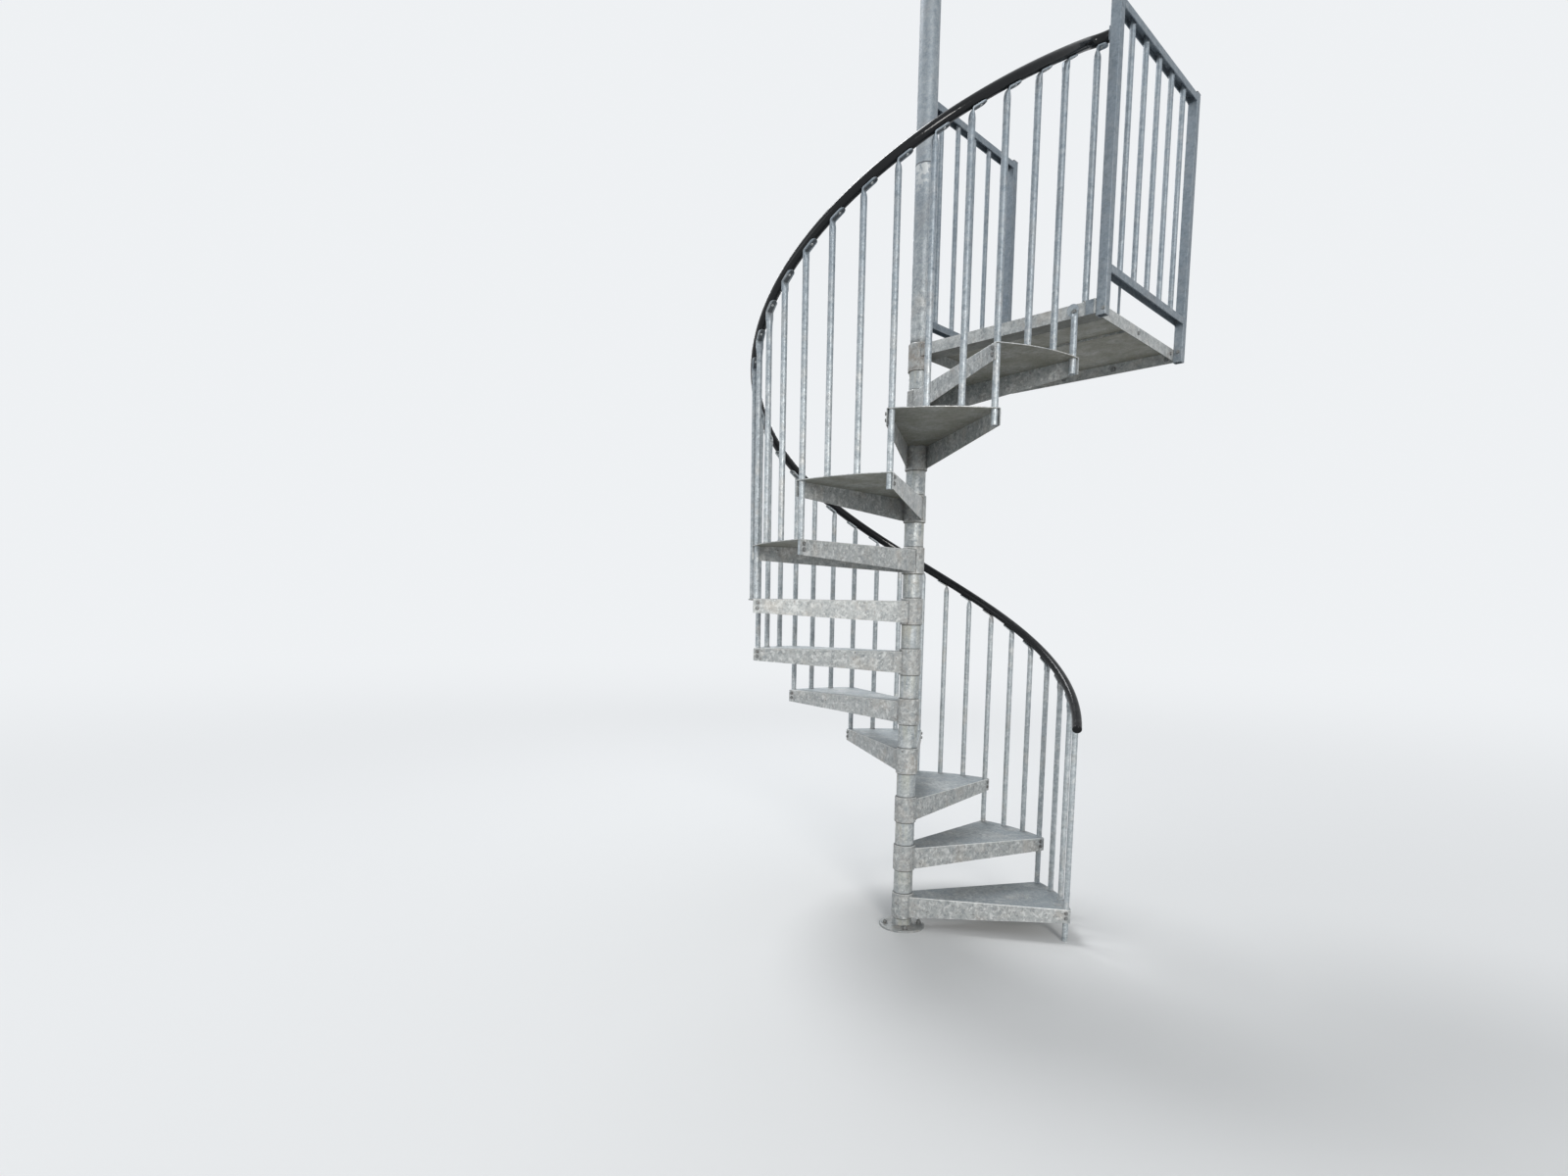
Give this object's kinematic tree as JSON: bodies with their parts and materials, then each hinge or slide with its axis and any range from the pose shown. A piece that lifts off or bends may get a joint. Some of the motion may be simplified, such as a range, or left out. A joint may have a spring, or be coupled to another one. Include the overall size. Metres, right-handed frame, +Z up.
{
  "type": "spiral staircase",
  "caption": "Outdoor spiral staircase in galvanised steel: wedge treads on a centre pole, round balusters, a black handrail and a square landing with its guard.",
  "frame": {"origin": "centre of the base plate's underside, on the pole's axis", "axes": "+Z up along the pole; +Y square to the landing's back edge, towards the building; +X along the landing's front edge, away from the pole"},
  "size_m": [1.6291, 1.594, 4.261],
  "materials": {
    "galvanised_steel": "hot-dip galvanised, mottled, weathered",
    "black_vinyl": "smooth black vinyl, glossy",
    "black_plastic": "black moulded caps"
  },
  "bodies": {
    "root": {"base_plate": "galvanised_steel", "centre_pole": "galvanised_steel", "pole_extension": "galvanised_steel", "pole_cap": "galvanised_steel", "tread_01": "galvanised_steel", "tread_02": "galvanised_steel", "tread_03": "galvanised_steel", "tread_04": "galvanised_steel", "tread_05": "galvanised_steel", "tread_06": "galvanised_steel", "tread_07": "galvanised_steel", "tread_08": "galvanised_steel", "tread_09": "galvanised_steel", "tread_10": "galvanised_steel", "tread_11": "galvanised_steel", "balusters_01": "galvanised_steel", "balusters_02": "galvanised_steel", "balusters_03": "galvanised_steel", "balusters_04": "galvanised_steel", "balusters_05": "galvanised_steel", "balusters_06": "galvanised_steel", "balusters_07": "galvanised_steel", "balusters_08": "galvanised_steel", "balusters_09": "galvanised_steel", "balusters_10": "galvanised_steel", "balusters_11": "galvanised_steel", "handrail": "black_vinyl", "handrail_elbow": "black_vinyl", "handrail_plate": "galvanised_steel", "handrail_cap": "black_vinyl", "landing": "galvanised_steel", "landing_stiffener": "galvanised_steel", "landing_stub": "galvanised_steel", "landing_baluster": "galvanised_steel", "post_clip": "galvanised_steel", "post_front": "galvanised_steel", "post_back": "galvanised_steel", "post_left": "galvanised_steel", "post_caps": "black_plastic", "right_top_rail": "galvanised_steel", "right_low_rail": "galvanised_steel", "right_balusters": "galvanised_steel", "right_foot_bar": "galvanised_steel", "left_top_rail": "galvanised_steel", "left_low_rail": "galvanised_steel", "left_balusters": "galvanised_steel"}
  },
  "joints": []
}
